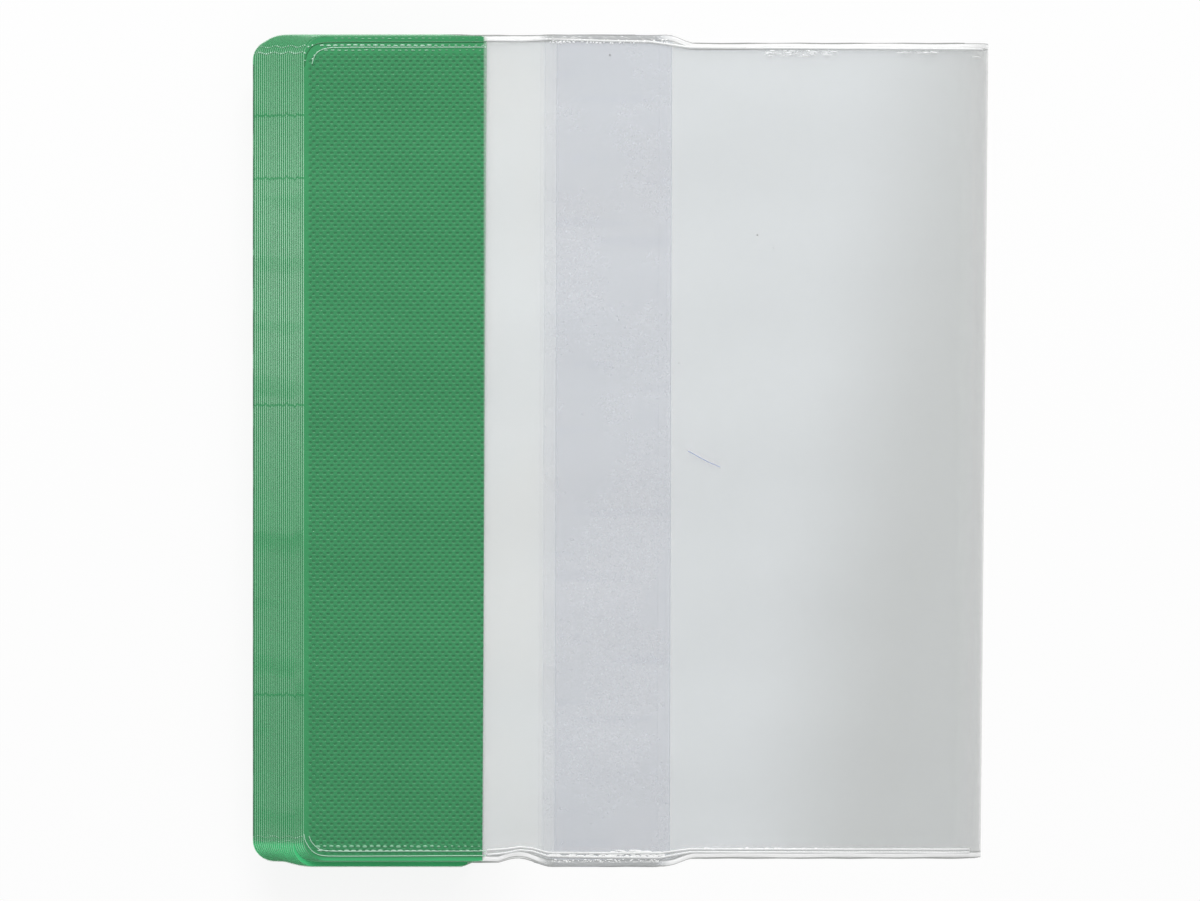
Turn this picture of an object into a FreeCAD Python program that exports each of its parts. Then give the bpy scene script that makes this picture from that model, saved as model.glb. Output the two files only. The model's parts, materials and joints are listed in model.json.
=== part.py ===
import FreeCAD, Part
import os

# A pack of clear slip-on book covers, nested one inside the next and folded in half together.
# X runs from the open fore-edges to the folds, Y along the folds, Z up through the pack.
# The origin is under the middle of the pack, on the surface that it lies on.
# Every length is in millimetres.

DIMENSIONS = {
    "cover_length": 425,
    "cover_height": 252,
    "spine_height": 247,
    "corner_radius": 6.5,
    "film_thick": 0.12,
    "pocket_thick": 0.14,
    "strap_thick": 0.12,
    "air_gap": 0.15,
    "pocket_width": 55,
    "strap_width": 35,
    "strap_inset": 73.5,
    "strap_wander": 3,
    "spine_inset": 116,
    "stack_drift": 0.3,
}
COVERS = 25
DRIFT_TURN = 15  # degrees from one cover to the next in the drift along the folds

doc = FreeCAD.newDocument("cover_pack")
sheet = doc.addObject("Spreadsheet::Sheet", "dims")
for row, (alias, value) in enumerate(DIMENSIONS.items(), start=1):
    sheet.set(f"A{row}", alias)
    sheet.set(f"B{row}", str(value))
    sheet.setAlias(f"B{row}", alias)
doc.recompute()

# One cover half is a film with its pocket or strap under it, and air before the next film.
LAYER = "(dims.film_thick + dims.pocket_thick + dims.air_gap)"


def bend_radius(number):
    """Outside radius of a cover's fold. Cover 1 is the outermost, and all folds share one axis."""
    inside = COVERS - number
    return f"(dims.air_gap / 2 + dims.pocket_thick + dims.film_thick + {inside} * {LAYER})"


def flat_length(number):
    """Half the cover, less the quarter circle that the half gives to the fold at mid film."""
    return f"(dims.cover_length / 2 - pi / 2 * ({bend_radius(number)} - dims.film_thick / 2))"


def drift(number):
    """How far a cover has slipped along the folds against the innermost one."""
    return f"(dims.stack_drift * sin({DRIFT_TURN * (COVERS - number)} deg))"


AXIS_X = f"(({flat_length(COVERS)} - {bend_radius(1)}) / 2)"
AXIS_Z = bend_radius(1)


def fore_edge(number):
    """X of a cover's open edge: inner covers lose less to the fold, so they reach further out."""
    return f"({AXIS_X} - {flat_length(number)})"


def place(feature, left, middle, bottom):
    """Binds a feature's place to the sheet."""
    feature.setExpression("Placement.Base.x", left)
    feature.setExpression("Placement.Base.y", middle)
    feature.setExpression("Placement.Base.z", bottom)


def plate(name, length, height, thickness, left, number, bottom):
    """A rectangle of film, centred on its cover along the fold."""
    box = doc.addObject("Part::Box", name)
    box.setExpression("Length", length)
    box.setExpression("Width", height)
    box.setExpression("Height", thickness)
    place(box, left, f"{drift(number)} - {height} / 2", bottom)
    return box


def round_fore_edge(box, name):
    """Rounds the two corners of a plate that stand on the cover's open edge."""
    box.recompute()
    edges = box.Shape.Edges
    radius = sheet.get("corner_radius")
    left = box.Shape.BoundBox.XMin
    corners = [
        index
        for index, edge in enumerate(edges, start=1)
        if edge.BoundBox.XMax - left < radius and edge.BoundBox.YLength < radius
    ]
    rounded = doc.addObject("Part::Fillet", name)
    rounded.Base = box
    rounded.Edges = [(index, radius, radius) for index in corners]
    return rounded


def film_panel(name, number, bottom):
    """One flat half of the clear film, a little lower from the strap to the fold."""
    left = fore_edge(number)
    wide = plate(
        f"{name}_wide", "dims.spine_inset", "dims.cover_height", "dims.film_thick", left, number, bottom
    )
    narrow = plate(
        f"{name}_narrow",
        f"{flat_length(number)} - dims.spine_inset",
        "dims.spine_height",
        "dims.film_thick",
        f"{left} + dims.spine_inset",
        number,
        bottom,
    )
    panel = doc.addObject("Part::Fuse", name)
    panel.Base = round_fore_edge(wide, f"{name}_rounded")
    panel.Tool = narrow
    panel.Refine = True
    return panel


def pocket_flap(name, number, bottom):
    """The embossed green flap that makes the end pocket with the film over it."""
    left = fore_edge(number)
    blank = plate(
        f"{name}_blank", "dims.pocket_width", "dims.cover_height", "dims.pocket_thick", left, number, bottom
    )
    return round_fore_edge(blank, name)


def strap(name, number, bottom):
    """The clear band across the cover; on every other cover it was laid a little nearer the fold."""
    wander = f"{number % 2} * dims.strap_wander"
    left = f"{fore_edge(number)} + dims.strap_inset + {wander}"
    return plate(name, "dims.strap_width", "dims.cover_height", "dims.strap_thick", left, number, bottom)


def half_cylinder(name, number, radius):
    """A half round bar on the fold axis, on the side away from the fore-edges."""
    bar = doc.addObject("Part::Cylinder", name)
    bar.Angle = 180
    bar.Placement.Rotation = FreeCAD.Rotation(
        FreeCAD.Vector(0, 0, -1), FreeCAD.Vector(1, 0, 0), FreeCAD.Vector(0, -1, 0), "XYZ"
    )
    bar.setExpression("Radius", radius)
    bar.setExpression("Height", "dims.spine_height")
    place(bar, AXIS_X, f"{drift(number)} + dims.spine_height / 2", AXIS_Z)
    return bar


def fold_bend(name, number):
    """The half tube of film between a cover's two flat halves."""
    bend = doc.addObject("Part::Cut", name)
    bend.Base = half_cylinder(f"{name}_outside", number, bend_radius(number))
    bend.Tool = half_cylinder(f"{name}_inside", number, f"{bend_radius(number)} - dims.film_thick")
    return bend


def group(label, pieces):
    """Separate solids that make one sub-part."""
    together = doc.addObject("Part::Compound", label)
    together.Links = pieces
    return together


sub_parts = []
back_films = []
back_pockets = []
back_straps = []
fold_bends = []

for number in range(1, COVERS + 1):
    leaf = f"front_leaf_{number:02d}"
    front_bottom = f"{AXIS_Z} + {bend_radius(number)} - dims.film_thick"
    front_film = film_panel(f"{leaf}_panel", number, front_bottom)
    front_strap = strap(f"{leaf}_strap", number, f"{front_bottom} - dims.strap_thick")
    sub_parts.append(group(f"{leaf}_film", [front_film, front_strap]))
    sub_parts.append(pocket_flap(f"{leaf}_pocket", number, f"{front_bottom} - dims.pocket_thick"))

    back = f"back_leaf_{number:02d}"
    back_bottom = f"{AXIS_Z} - {bend_radius(number)}"
    inner_face = f"{back_bottom} + dims.film_thick"
    back_films.append(film_panel(f"{back}_panel", number, back_bottom))
    back_pockets.append(pocket_flap(f"{back}_pocket", number, inner_face))
    back_straps.append(strap(f"{back}_strap", number, inner_face))
    fold_bends.append(fold_bend(f"fold_{number:02d}", number))

sub_parts.append(group("back_films", back_films))
sub_parts.append(group("back_pockets", back_pockets))
sub_parts.append(group("back_straps", back_straps))
sub_parts.append(group("fold_bends", fold_bends))

doc.recompute()

for feature in doc.Objects:
    if {"Invalid", "Error"} & set(feature.State):
        raise RuntimeError(f"{feature.Label} did not build: {feature.State}")
for sub_part in sub_parts:
    if sub_part.Shape.isNull() or not sub_part.Shape.isValid():
        raise RuntimeError(f"{sub_part.Label} has no valid shape")

os.makedirs("parts", exist_ok=True)
for sub_part in sub_parts:
    sub_part.Shape.exportStep(f"parts/{sub_part.Label}.step")

whole = Part.makeCompound([sub_part.Shape for sub_part in sub_parts]).BoundBox
print(f"{len(sub_parts)} sub-parts, {whole.XLength:.2f} x {whole.YLength:.2f} x {whole.ZLength:.2f} mm")
print(f"X {whole.XMin:.3f} to {whole.XMax:.3f}, Y {whole.YMin:.3f} to {whole.YMax:.3f}, Z from {whole.ZMin:.3f}")
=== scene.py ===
# %% [markdown]
# # A pack of clear slip-on book covers
#
# The object is 25 clear plastic covers, nested one inside the next and folded in half together.
# Each cover is one long film with a green embossed pocket at both ends and a clear strap across
# each half. The solids of the pack are loaded first and stay where they are: they give the places
# and the main sizes here. Each pocket and strap below stands for solids and moves as they do; each
# film stands for solids and keeps the place it is built in.

# %% Load the fixed frame
import json
import bpy
import numpy as np
from types import SimpleNamespace
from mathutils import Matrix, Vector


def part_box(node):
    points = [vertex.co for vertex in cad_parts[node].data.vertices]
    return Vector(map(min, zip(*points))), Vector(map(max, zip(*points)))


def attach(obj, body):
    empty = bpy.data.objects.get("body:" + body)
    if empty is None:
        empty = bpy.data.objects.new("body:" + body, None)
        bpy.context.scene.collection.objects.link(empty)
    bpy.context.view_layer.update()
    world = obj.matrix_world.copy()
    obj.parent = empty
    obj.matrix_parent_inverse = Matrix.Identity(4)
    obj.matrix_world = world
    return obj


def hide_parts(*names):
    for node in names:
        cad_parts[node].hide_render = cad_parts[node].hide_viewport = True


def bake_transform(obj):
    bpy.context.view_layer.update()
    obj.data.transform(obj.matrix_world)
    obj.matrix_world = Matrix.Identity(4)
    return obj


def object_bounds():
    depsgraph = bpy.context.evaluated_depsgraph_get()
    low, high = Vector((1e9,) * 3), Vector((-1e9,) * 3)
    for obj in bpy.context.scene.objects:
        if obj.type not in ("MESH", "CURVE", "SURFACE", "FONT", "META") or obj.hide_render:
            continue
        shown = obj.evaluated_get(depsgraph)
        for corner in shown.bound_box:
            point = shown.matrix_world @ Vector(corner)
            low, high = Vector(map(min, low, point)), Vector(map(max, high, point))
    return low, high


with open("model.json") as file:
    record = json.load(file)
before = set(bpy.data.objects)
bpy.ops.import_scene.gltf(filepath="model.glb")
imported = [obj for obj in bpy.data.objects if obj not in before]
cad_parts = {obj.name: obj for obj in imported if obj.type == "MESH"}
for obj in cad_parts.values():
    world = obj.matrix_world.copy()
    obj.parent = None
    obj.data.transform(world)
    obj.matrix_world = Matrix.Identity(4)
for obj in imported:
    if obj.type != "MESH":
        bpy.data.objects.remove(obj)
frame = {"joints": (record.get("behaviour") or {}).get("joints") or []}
solid_low, solid_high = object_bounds()
scene = bpy.context.scene
MM = 0.001

# %% [markdown]
# ## Camera
#
# The picture is flat, like a scan: nothing in it recedes. An orthographic camera could give that,
# but a very long lens far above the pack does it too, and keeps behaving like a camera when the
# view turns to other sides. The width of the view is what the picture's 1200 pixels cover at the
# scale of the pack, and the lens then sets how high the camera hangs.

# %% Camera
PIXEL = 0.303 * MM
PICTURE_WIDTH = 1200
PACK_CENTRE_PIXEL = 618.7
PICTURE_MIDDLE = 450.5
LENS = 400
SENSOR = 36
CLIP_END = 50

camera_data = bpy.data.cameras.new("camera")
camera_data.lens = LENS
camera_data.sensor_width = SENSOR
camera_data.clip_end = CLIP_END
camera = bpy.data.objects.new("camera", camera_data)
scene.collection.objects.link(camera)
view_width = PICTURE_WIDTH * PIXEL
camera.location = (
    (PICTURE_WIDTH / 2 - PACK_CENTRE_PIXEL) * PIXEL,
    0,
    solid_high.z + view_width * LENS / SENSOR,
)
scene.camera = camera
print(f"camera {camera.location.z:.2f} m above the floor, {view_width * 1000:.0f} mm wide view")

# %% [markdown]
# ## Small helpers for shader nodes
#
# Every finish below is a tree of nodes. Four helpers keep the trees short: one adds a node and
# wires it, one adds a Math node, one turns a value into a smooth mask, and one mixes two colours.

# %% Node helpers
MIX_FIRST, MIX_SECOND, MIX_RESULT = 6, 7, 2  # places of the colour sockets on a Mix node


def put(tree, kind, settings=None, values=None, **wires):
    """Adds a node; settings are its properties, values its plain sockets, wires what feeds it."""
    node = tree.nodes.new(kind)
    for key, value in (settings or {}).items():
        setattr(node, key, value)
    for key, value in (values or {}).items():
        node.inputs[key].default_value = value
    for key, source in wires.items():
        tree.links.new(source, node.inputs[key])
    return node


def maths(tree, operation, *operands):
    """One Math node; a plain number goes in the socket, anything else is a wire."""
    node = tree.nodes.new("ShaderNodeMath")
    node.operation = operation
    for socket, value in zip(node.inputs, operands):
        if isinstance(value, (int, float)):
            socket.default_value = value
        else:
            tree.links.new(value, socket)
    return node.outputs[0]


def between(tree, value, low, high, start=0.0, end=1.0):
    """A smooth step from start, where value is under low, to end, where it is over high."""
    limits = {"From Min": low, "From Max": high, "To Min": start, "To Max": end}
    node = put(tree, "ShaderNodeMapRange", {"interpolation_type": "SMOOTHSTEP"}, limits, Value=value)
    return node.outputs["Result"]


def tint(tree, mask, first, second):
    """Mixes two colours by a mask; each is a plain colour or a wire."""
    node = tree.nodes.new("ShaderNodeMix")
    node.data_type = "RGBA"
    tree.links.new(mask, node.inputs["Factor"])
    for index, value in ((MIX_FIRST, first), (MIX_SECOND, second)):
        if isinstance(value, tuple):
            node.inputs[index].default_value = (*value, 1)
        else:
            tree.links.new(value, node.inputs[index])
    return node.outputs[MIX_RESULT]


print("node helpers ready")

# %% [markdown]
# ## Floor and light
#
# The floor is white to the camera and to reflections, and an ordinary matt surface to everything
# else, so it brightens the page without throwing more light on the pack. A share of the plain matt
# shade stays in what the camera sees, which keeps a soft shadow round the edges. The light is an
# even sky and one long soft lamp behind the upper edge, low enough to pick out the embossing. The
# sky is dim straight overhead, as under a camera on its stand, so that glossy film lying flat
# doesn't mirror a white veil into the picture.

# %% Floor, sky and lamp
FLOOR_SIZE = 6.0
FLOOR_DROP = 0.05 * MM
FLOOR_COLOUR = (0.86, 0.86, 0.86, 1)
FLOOR_GLOW = 0.88
SKY_STRENGTH = 0.66
SKY_OVERHEAD = 0.1
OVERHEAD_FROM, OVERHEAD_TO = 0.82, 0.95
LAMP_PLACE = (-0.2, 2.0, 1.4)
LAMP_SIZE = (2.0, 0.6)
LAMP_WATTS = 56
CLEAR_FACES = 64  # clear faces that one ray may pass through


def floor_material():
    """Matt white; for camera, glossy and transmitted rays most of it is a plain white glow."""
    material = bpy.data.materials.new("floor_white")
    material.use_nodes = True
    tree = material.node_tree
    tree.nodes.clear()
    path = put(tree, "ShaderNodeLightPath").outputs
    shiny = maths(tree, "MAXIMUM", path["Is Glossy Ray"], path["Is Transmission Ray"])
    seen = maths(tree, "MAXIMUM", path["Is Camera Ray"], shiny)
    share = maths(tree, "MULTIPLY", seen, FLOOR_GLOW)
    matt = put(tree, "ShaderNodeBsdfDiffuse", None, {"Color": FLOOR_COLOUR})
    glow = put(tree, "ShaderNodeEmission")
    mix = put(tree, "ShaderNodeMixShader", Fac=share)
    tree.links.new(matt.outputs[0], mix.inputs[1])
    tree.links.new(glow.outputs[0], mix.inputs[2])
    put(tree, "ShaderNodeOutputMaterial", Surface=mix.outputs[0])
    return material


def sky():
    """An even white sky whose strength steps down inside a cone round the zenith."""
    world = bpy.data.worlds.new("even_sky")
    world.use_nodes = True
    tree = world.node_tree
    direction = put(tree, "ShaderNodeTexCoord").outputs["Generated"]
    up = put(tree, "ShaderNodeSeparateXYZ", Vector=direction).outputs["Z"]
    strength = between(tree, up, OVERHEAD_FROM, OVERHEAD_TO, SKY_STRENGTH, SKY_OVERHEAD)
    background = tree.nodes["Background"]
    background.inputs["Color"].default_value = (1, 1, 1, 1)
    tree.links.new(strength, background.inputs["Strength"])
    return world


floor_mesh = bpy.data.meshes.new("floor")
floor_corners = np.array([(-1, -1, 0), (1, -1, 0), (1, 1, 0), (-1, 1, 0)]) * FLOOR_SIZE
floor_mesh.from_pydata((floor_corners - (0, 0, FLOOR_DROP)).tolist(), [], [(0, 1, 2, 3)])
floor_mesh.materials.append(floor_material())
floor = bpy.data.objects.new("floor", floor_mesh)
scene.collection.objects.link(floor)
scene.world = sky()

lamp_data = bpy.data.lights.new("long_lamp", "AREA")
lamp_data.shape = "RECTANGLE"
lamp_data.size, lamp_data.size_y = LAMP_SIZE
lamp_data.energy = LAMP_WATTS
lamp = bpy.data.objects.new("long_lamp", lamp_data)
lamp.location = LAMP_PLACE
lamp.rotation_euler = (-lamp.location).to_track_quat("-Z", "Y").to_euler()
scene.collection.objects.link(lamp)

scene.view_settings.view_transform = "Standard"
scene.cycles.transparent_max_bounces = CLEAR_FACES
print(f"sky {SKY_STRENGTH}, lamp {LAMP_WATTS} W")

# %% [markdown]
# ## Reading the covers
#
# Every cover is read from its solids: where its fore-edge is, how far it has slipped along the
# fold, and the radius of its bend. All bends share the hinge line of the pack. Cover 1 is the
# outermost, so it lies on top, has the widest bend and the shortest reach to the fore-edge.

# %% Facts of each cover
HINGES = frame["joints"]
FOLD_X, _, FOLD_Z = HINGES[0]["pos_m"]
HALF_LENGTH = 212.5 * MM


def read_cover(number, leaf):
    """One cover's numbers: the flat length is fold line less fore-edge, the radius top less fold."""
    low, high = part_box(f"{leaf}_film")
    pocket_low, pocket_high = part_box(f"{leaf}_pocket")
    film = high.z - pocket_high.z
    return SimpleNamespace(
        number=number,
        leaf=leaf,
        fore_edge=low.x,
        flat=FOLD_X - low.x,
        middle=(low.y + high.y) / 2,
        height=high.y - low.y,
        radius=high.z - FOLD_Z,
        mid_radius=high.z - FOLD_Z - film / 2,
        pocket_width=pocket_high.x - pocket_low.x,
        pocket=pocket_high.z - pocket_low.z,
    )


covers = [read_cover(number, hinge["child"]) for number, hinge in enumerate(HINGES, start=1)]
top_cover, last_cover = covers[0], covers[-1]
POCKET_WIDTH = top_cover.pocket_width
print(f"{len(covers)} covers, bends {last_cover.radius / MM:.2f} to {top_cover.radius / MM:.2f} mm")

# %% [markdown]
# ## The line of a film
#
# Two numbers give any point of a cover: the run, which is how far it lies from the fore-edge
# measured along the film, and its height along the fold. The run is straight until the fold and
# then goes round a quarter circle, where the other half of the cover takes over. The upper leaves
# are not dead flat, so one shared wave lifts all of them alike and no leaf cuts into the next. The
# pack's fold also leans a little against its fore-edges.

# %% Curves that every piece follows
QUARTER = np.pi / 2
LEAN = 0.0095
LEAN_RUN = 80 * MM
SWELL = 1.1 * MM
SWELL_FADE = 45 * MM
SWELL_WAVES = (  # share of the swell, wavelength along Y and along X, start
    (0.24, 112 * MM, 400 * MM, 0.6),
    (0.16, 47 * MM, -210 * MM, 2.0),
    (0.06, 21 * MM, 90 * MM, 4.0),
)


def smooth(t):
    """An even step from 0 to 1: three t squared less two t cubed, with t held between 0 and 1."""
    t = np.clip(t, 0, 1)
    return t * t * (3 - 2 * t)


def hill(t):
    """A rounded hill of height 1 between t = -1 and t = 1: the square of a cosine."""
    return np.cos(QUARTER * np.clip(t, -1, 1)) ** 2


def swell(x, y):
    """How far the upper leaves stand off: half plus three sines along the fold, fading to 0 at it."""
    waves = sum(
        share * np.sin(2 * np.pi * (y / along + x / across) + start)
        for share, along, across, start in SWELL_WAVES
    )
    return SWELL * (0.5 + waves) * smooth((FOLD_X - x) / SWELL_FADE)


def on_cover(cover, run, y, depth, half):
    """A point of a cover as X, Y, Z, with half 1 for the upper leaf and -1 for the lower one.

    The turn is the run past the flat length over the bend's radius. X adds the flat run and the
    radius times the sine of the turn, Z the radius times its cosine. The lean shifts X with Y near
    the fold, and the upper leaf also gets the swell. Depth is counted inwards from the outer face.
    """
    run, y, depth = np.broadcast_arrays(run, y, depth)
    turn = np.clip((run - cover.flat) / cover.mid_radius, 0, QUARTER)
    reach = cover.radius - depth
    x = cover.fore_edge + np.minimum(run, cover.flat) + reach * np.sin(turn)
    x = x + LEAN * y * smooth(1 + (run - cover.flat) / LEAN_RUN)
    z = FOLD_Z + half * reach * np.cos(turn)
    if half > 0:
        z = z + swell(x, y)
    return np.stack([x, y, z], axis=-1)


print(f"swell {SWELL / MM:.1f} mm, lean {LEAN * top_cover.height / MM:.1f} mm over the height")

# %% [markdown]
# ## The outline of a cover
#
# A cover is 252 mm high at its pockets and strap and a little lower at the spine. Its fore-edge
# corners are round. Welding draws the film together, and between pocket and strap, where nothing
# holds it flat, the long edges pull in, the lower one most. Each cover does that by its own amount.
# The outer five covers have also shrunk at the foot of the pocket, so the covers under them show
# past its edge, and the innermost covers are a little lower at both corners.

# %% Outline
CORNER = 6.5 * MM
SPINE_START, SPINE_RAMP, SPINE_DROP = 110 * MM, 9 * MM, 2.5 * MM
SLACK_PLACE, SLACK_REACH = 65 * MM, 11 * MM
UPPER_SLACK, LOWER_SLACK = (0.1, 0.7), (2.4, 3.2)  # least and most in mm
NOTCH_START, NOTCH_RAMP, NOTCH_SHARE = 48.5 * MM, 2.4 * MM, 0.5
HELD_FROM, HELD_RAMP = 55 * MM, 20 * MM
RIPPLE, RIPPLE_LENGTH = 0.12 * MM, 31 * MM
OUTER_COVERS, OUTER_SHRINK = 5, 1.5 * MM
TOP_SHRINK = 0.4 * MM
UPPER_SHRINK, LOWER_SHRINK = (21, 1.0 * MM), (9, 1.1 * MM)  # last cover without it, and the most
UPPER, LOWER = 0, 1
SEED = 25


def inner_shrink(last_full, most):
    """How far each cover's edge has shrunk: 0 up to one cover, then a smooth step to the innermost."""
    numbers = np.arange(1, len(covers) + 1)
    return most * smooth((numbers - last_full) / (len(covers) - last_full))


random = np.random.default_rng(SEED)
slack = [random.uniform(*limits, len(covers)) for limits in (UPPER_SLACK, LOWER_SLACK)]
slack = np.stack(slack, axis=1) * MM
shrink = np.stack([inner_shrink(*UPPER_SHRINK), inner_shrink(*LOWER_SHRINK)], axis=1)
shrink[:OUTER_COVERS, LOWER] = OUTER_SHRINK
shrink[0, UPPER] = TOP_SHRINK
ripple_start = random.uniform(0, 2 * np.pi, (len(covers), 2))


def longer(cover):
    """How much further a cover's leaf reaches out than that of the top cover."""
    return top_cover.fore_edge - cover.fore_edge


def drawn_in(cover, run):
    """How far the upper and lower edge lie inside the cover's full height, along the run.

    That is the corner (radius less a circle's rise), the spine's step, a small ripple, and the
    greater of two: the slack between pocket and strap, a hill that starts with a notch, and the
    cover's shrink, which ends where the strap holds it open. The slack lies at one place for the
    whole pack, so on a longer leaf its run is greater.
    """
    index = cover.number - 1
    corner = CORNER - np.sqrt(CORNER**2 - np.maximum(CORNER - run, 0) ** 2)
    spine = SPINE_DROP * smooth((run - SPINE_START) / SPINE_RAMP)
    place = run - longer(cover)
    notch = NOTCH_SHARE * smooth((place - NOTCH_START) / NOTCH_RAMP) * (place < SLACK_PLACE)
    gap = slack[index][:, None] * np.maximum(hill((place - SLACK_PLACE) / SLACK_REACH), notch)
    free = shrink[index][:, None] * (1 - smooth((run - HELD_FROM) / HELD_RAMP))
    wave = RIPPLE * (1 + np.sin(2 * np.pi * run / RIPPLE_LENGTH + ripple_start[index][:, None]))
    wave = wave * smooth((run - HELD_FROM) / HELD_RAMP)
    return corner + spine + np.maximum(gap, free) + wave


def long_edges(cover, run):
    """Y of the upper and lower edge along the run: half the height less what is drawn in."""
    half_height = cover.height / 2 - drawn_in(cover, run)
    return cover.middle + half_height[UPPER], cover.middle - half_height[LOWER]


def rim_distance(edges, runs, y):
    """Distance to the nearest edge in mm: to a long edge, the fore-edge, or the corner's arc.

    The long edges already follow the corner, so there the distance is the radius less the distance
    from the corner's centre, where both the fore-edge and the long edge are near.
    """
    upper, lower = (np.interp(CORNER, runs, edge) for edge in edges)
    run = runs[:, None]
    inset = np.minimum(edges[UPPER][:, None] - y, y - edges[LOWER][:, None])
    from_square = np.minimum(upper - y, y - lower)
    across = np.maximum(CORNER - run, 0)
    along = np.maximum(CORNER - from_square, 0)
    arc = CORNER - np.hypot(across, along)
    near_corner = (across > 0) & (along > 0)
    plain = np.minimum(inset, run)
    return np.where(near_corner, np.maximum(arc, 0), np.maximum(plain, 0)) / MM


upper_edge, lower_edge = long_edges(top_cover, np.array([30, 66, 160]) * MM)
print("top cover height at pocket, gap and spine:", np.round((upper_edge - lower_edge) / MM, 1))

# %% [markdown]
# ## Thin closed shells
#
# All pieces of the pack are thin sheets. Each is made as two matching grids of points, one for the
# outer face and one for the inner face, with a strip of faces round the rim that closes it. The
# run and the height go into a UV map, so that embossing, haze and edges follow the film round the
# fold. The map's unit is 250 mm. The distance to the nearest edge goes into an attribute.

# %% Shell builder
UV_UNIT = 250 * MM
SHARP = np.radians(40)


def strip(first, second):
    """Quads between two rows of point numbers of the same length."""
    return np.stack([first[:-1], second[:-1], second[1:], first[1:]], axis=-1).reshape(-1, 4)


def patch(grid):
    """Quads of one grid of point numbers, seen from the side that u cross v points to."""
    corners = [grid[:-1, :-1], grid[1:, :-1], grid[1:, 1:], grid[:-1, 1:]]
    return np.stack(corners, axis=-1).reshape(-1, 4)


def closed_grid(count_u, count_v):
    """Quads of a closed two-sided grid: outer faces, inner faces turned over, and four rim strips."""
    outer = np.arange(count_u * count_v).reshape(count_u, count_v)
    inner = outer + count_u * count_v
    return np.concatenate([
        patch(outer),
        patch(inner)[:, ::-1],
        strip(outer[:, 0], inner[:, 0]),
        strip(inner[:, -1], outer[:, -1]),
        strip(inner[0], outer[0]),
        strip(outer[-1], inner[-1]),
    ])


def new_piece(name, points, faces, plan, rim, material):
    """A piece from points, arrays of faces, and a run, a height and a rim distance for each point."""
    corners = np.concatenate([face.ravel() for face in faces])
    counts = np.concatenate([np.full(len(face), face.shape[1]) for face in faces])
    mesh = bpy.data.meshes.new(name)
    mesh.vertices.add(len(points))
    mesh.vertices.foreach_set("co", points.astype(np.float32).ravel())
    mesh.loops.add(len(corners))
    mesh.loops.foreach_set("vertex_index", corners.astype(np.int32))
    mesh.polygons.add(len(counts))
    mesh.polygons.foreach_set("loop_start", (np.cumsum(counts) - counts).astype(np.int32))
    mesh.update(calc_edges=True)
    layer = mesh.uv_layers.new(name="run_and_height")
    layer.data.foreach_set("uv", (plan[corners] / UV_UNIT).astype(np.float32).ravel())
    attribute = mesh.attributes.new("rim", "FLOAT", "POINT")
    attribute.data.foreach_set("value", rim.astype(np.float32))
    mesh.polygons.foreach_set("use_smooth", np.ones(len(counts), dtype=bool))
    mesh.set_sharp_from_angle(angle=SHARP)
    mesh.materials.append(material)
    piece = bpy.data.objects.new(name, mesh)
    scene.collection.objects.link(piece)
    return piece


def shell(name, outer, inner, run, y, rim, material, half):
    """A closed sheet from two point grids; on the lower half its faces turn the other way."""
    quads = closed_grid(*outer.shape[:2])[:, ::half]
    points = np.concatenate([outer.reshape(-1, 3), inner.reshape(-1, 3)])
    plan = np.stack(np.broadcast_arrays(run, y), axis=-1).reshape(-1, 2)
    return new_piece(name, points, [quads], np.tile(plan, (2, 1)), np.tile(rim.ravel(), 2), material)


def see_through(piece):
    """Clear film keeps no light from the layers under it."""
    piece.visible_shadow = False
    piece.visible_diffuse = False
    return piece


SIDES = {1: "front", -1: "back"}
print(f"a 3 by 4 shell has {len(closed_grid(3, 4))} quads")

# %% [markdown]
# ## Effects that several finishes share
#
# Some effects turn up on more than one plastic, so each is a node group. Haze is a soft cloud of
# cloudy plastic. Scuffs are fine rubbed streaks that change the gloss. Creases are thin wavy lines
# across the fan of fore-edges, where the pack was once pressed; the film dims the painted highlight
# of its cut edges along them, as painted shade. Scales is the pressed pattern of the pocket film:
# rows of small wide dents, each row shifted by half a dent against the last. One cosine places the
# rows, and its sign turns over the cosine that places the dents in them.

# %% Haze, scuffs, creases and scales
VECTOR, NUMBER = "NodeSocketVector", "NodeSocketFloat"
STREAK = (1, 0.025, 1)
DENT_WIDEN = 0.35
CREASE_PIXELS = (115, 178, 405, 695)
CREASE_GRAIN = 900
CREASE_CORE, CREASE_SIDE = 0.15 * MM, 0.5 * MM


def new_group(name, output, **inputs):
    """An empty shader group with a place, named number inputs and one number output."""
    group = bpy.data.node_groups.new(name, "ShaderNodeTree")
    group.interface.new_socket("Place", in_out="INPUT", socket_type=VECTOR)
    for title, value in inputs.items():
        socket = group.interface.new_socket(title, in_out="INPUT", socket_type=NUMBER)
        socket.default_value = value
    group.interface.new_socket(output, in_out="OUTPUT", socket_type=NUMBER)
    return group, group.nodes.new("NodeGroupInput").outputs, group.nodes.new("NodeGroupOutput").inputs


def make_haze():
    """Soft clouds: fractal noise, cut to a mask between two levels."""
    group, given, out = new_group("haze", "Mask", Scale=8.0, Low=0.4, High=0.7)
    grain = {"Detail": 6, "Roughness": 0.62}
    noise = put(group, "ShaderNodeTexNoise", None, grain, Vector=given["Place"], Scale=given["Scale"])
    smoothstep = {"interpolation_type": "SMOOTHSTEP"}
    mask = put(group, "ShaderNodeMapRange", smoothstep, Value=noise.outputs["Fac"])
    group.links.new(given["Low"], mask.inputs["From Min"])
    group.links.new(given["High"], mask.inputs["From Max"])
    group.links.new(mask.outputs["Result"], out["Mask"])
    return group


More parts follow.
